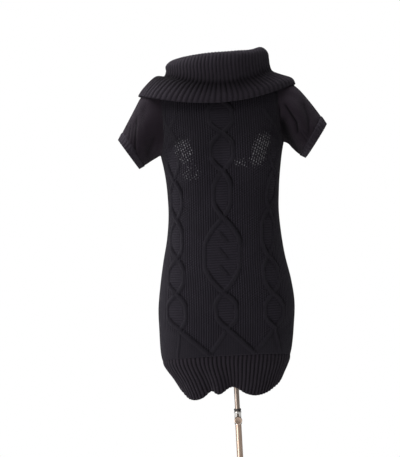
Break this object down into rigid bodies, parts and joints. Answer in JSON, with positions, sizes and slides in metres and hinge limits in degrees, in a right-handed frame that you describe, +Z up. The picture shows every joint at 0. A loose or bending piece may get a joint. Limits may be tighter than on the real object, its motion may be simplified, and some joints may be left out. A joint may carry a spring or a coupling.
{
  "type": "sweater dress on dress form",
  "caption": "Short-sleeved cable-knit sweater dress with a folded ribbed cowl collar, cuffs and hem, worn by a limbless dress form on a telescopic stand.",
  "frame": {"origin": "centre of the base's underside, on the floor, on the stand's axis", "axes": "+Z up along the stand, the dress's front faces -Y, +X to the right as seen from the front"},
  "size_m": [0.5438, 0.34, 1.519],
  "materials": {
    "knit": "matte cable knit",
    "rib_knit": "matte rib knit",
    "form_cover": "smooth pale jersey cover",
    "brassy_steel": "polished, champagne",
    "chrome": "polished",
    "rubber": "matte black",
    "base_paint": "satin pale grey"
  },
  "bodies": {
    "stand": {"base": "base_paint", "lower_tube": "brassy_steel", "clamp": "chrome", "grip_ring": "rubber"},
    "knob": {"clamp_knob": "brassy_steel"},
    "mast": {"upper_tube": "brassy_steel"},
    "form": {"dress_form": "form_cover", "form_flange": "chrome", "front": "knit", "back": "knit", "sleeve_left": "knit", "sleeve_right": "knit", "cuff_left": "rib_knit", "cuff_right": "rib_knit", "hem_front": "rib_knit", "hem_back": "rib_knit", "collar": "rib_knit"}
  },
  "joints": [
    {"name": "height_slide", "type": "slide", "parent": "stand", "child": "mast", "axis": [0, 0, 1], "range_m": [-0.11, 0.18]},
    {"name": "form_turn", "type": "hinge", "parent": "mast", "child": "form", "pos_m": [0, 0, 0.74], "axis": [0, 0, 1], "continuous": true},
    {"name": "knob_turn", "type": "hinge", "parent": "stand", "child": "knob", "pos_m": [0, -0.0184, 0.561], "axis": [0, -1, 0], "continuous": true}
  ]
}
